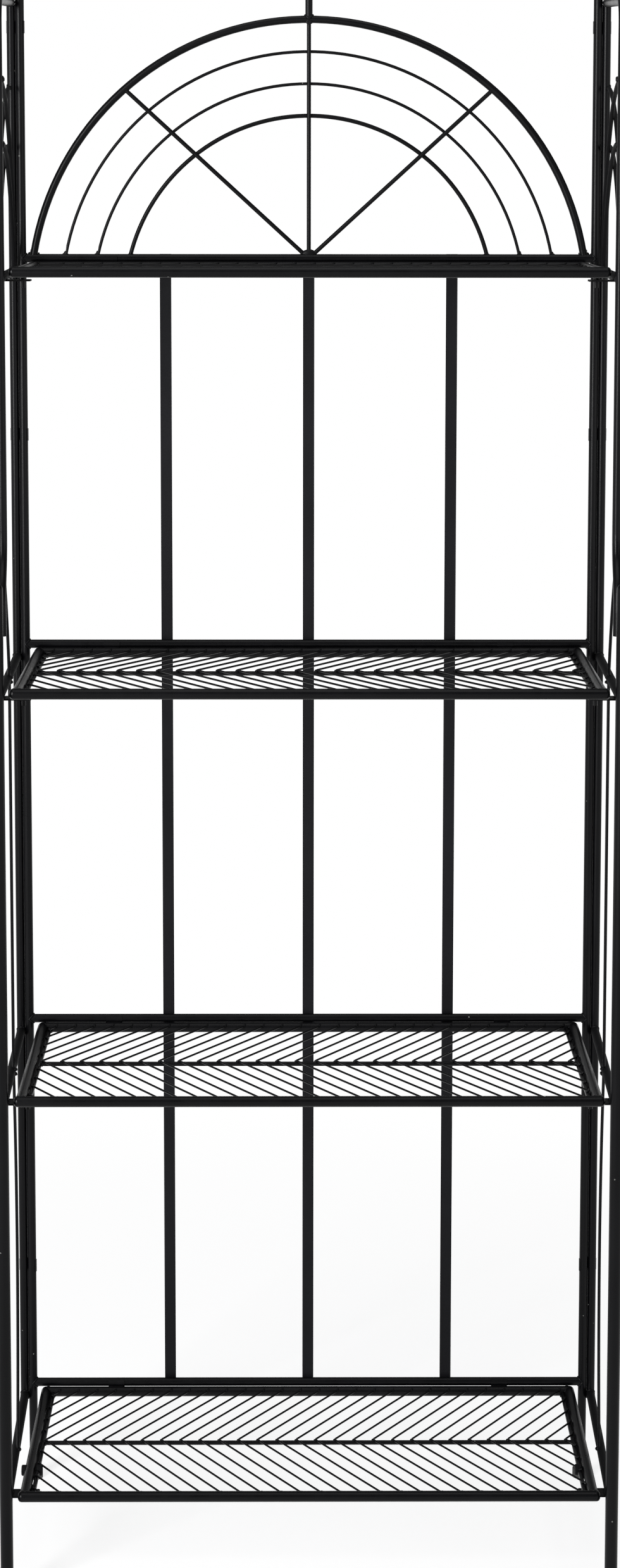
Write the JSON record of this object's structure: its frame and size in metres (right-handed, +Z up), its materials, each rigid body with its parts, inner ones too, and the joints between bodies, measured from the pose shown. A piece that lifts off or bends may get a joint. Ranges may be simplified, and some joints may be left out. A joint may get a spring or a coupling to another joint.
{
  "type": "plant rack",
  "caption": "Tall folding plant rack of black steel tube with herringbone wire shelves, hinged sides and an arched fan back.",
  "frame": {"origin": "on the floor under the middle of the whole rack", "axes": "+Z up, -Y towards the front, +X to the right seen from the front"},
  "size_m": [0.686, 0.3378, 1.781],
  "materials": {
    "tube": "satin",
    "rod": "satin",
    "foot_cap": "satin"
  },
  "bodies": {
    "back_frame": {"back_post_left": "tube", "back_post_right": "tube", "back_rail_1": "tube", "back_rail_2": "tube", "back_rail_3": "tube", "back_rail_4": "tube", "back_bars": "rod", "arch_outer": "rod", "arch_second": "rod", "arch_third": "rod", "arch_inner": "rod", "spokes": "rod", "centre_upright": "rod", "back_feet": "foot_cap"},
    "left_side": {"left_rear_post": "tube", "left_front_post": "tube", "left_upper_tube": "tube", "left_rail_1": "tube", "left_rail_2": "tube", "left_rail_3": "tube", "left_rail_4": "tube", "left_lattice": "rod", "left_stays": "rod", "left_hinge_straps": "rod", "left_tabs": "rod", "left_foot": "foot_cap"},
    "right_side": {"right_rear_post": "tube", "right_front_post": "tube", "right_upper_tube": "tube", "right_rail_1": "tube", "right_rail_2": "tube", "right_rail_3": "tube", "right_rail_4": "tube", "right_lattice": "rod", "right_stays": "rod", "right_hinge_straps": "rod", "right_tabs": "rod", "right_foot": "foot_cap"},
    "shelf_1": {"shelf_1_frame": "tube", "shelf_1_grid_rods": "rod", "shelf_1_wires": "rod", "shelf_1_hinge_clips": "rod", "shelf_1_pegs": "rod"},
    "shelf_2": {"shelf_2_frame": "tube", "shelf_2_grid_rods": "rod", "shelf_2_wires": "rod", "shelf_2_hinge_clips": "rod", "shelf_2_pegs": "rod"},
    "shelf_3": {"shelf_3_frame": "tube", "shelf_3_grid_rods": "rod", "shelf_3_wires": "rod", "shelf_3_hinge_clips": "rod", "shelf_3_pegs": "rod"},
    "shelf_4": {"shelf_4_frame": "tube", "shelf_4_grid_rods": "rod", "shelf_4_wires": "rod", "shelf_4_hinge_clips": "rod", "shelf_4_pegs": "rod", "shelf_4_studs": "rod"}
  },
  "joints": [
    {"name": "shelf_1_fold", "type": "hinge", "parent": "back_frame", "child": "shelf_1", "pos_m": [0, 0.15842, 1.4515], "axis": [-1, 0, 0], "range_deg": [0, 88]},
    {"name": "shelf_2_fold", "type": "hinge", "parent": "back_frame", "child": "shelf_2", "pos_m": [0, 0.15842, 1.007], "axis": [-1, 0, 0], "range_deg": [0, 88]},
    {"name": "shelf_3_fold", "type": "hinge", "parent": "back_frame", "child": "shelf_3", "pos_m": [0, 0.15842, 0.5625], "axis": [-1, 0, 0], "range_deg": [0, 88]},
    {"name": "shelf_4_fold", "type": "hinge", "parent": "back_frame", "child": "shelf_4", "pos_m": [0, 0.15842, 0.118], "axis": [-1, 0, 0], "range_deg": [0, 88]},
    {"name": "left_side_swing", "type": "hinge", "parent": "back_frame", "child": "left_side", "pos_m": [-0.3275, 0.15842, 0.875], "axis": [0, 0, -1], "range_deg": [0, 90]},
    {"name": "right_side_swing", "type": "hinge", "parent": "back_frame", "child": "right_side", "pos_m": [0.3275, 0.15842, 0.875], "axis": [0, 0, 1], "range_deg": [0, 90]}
  ]
}
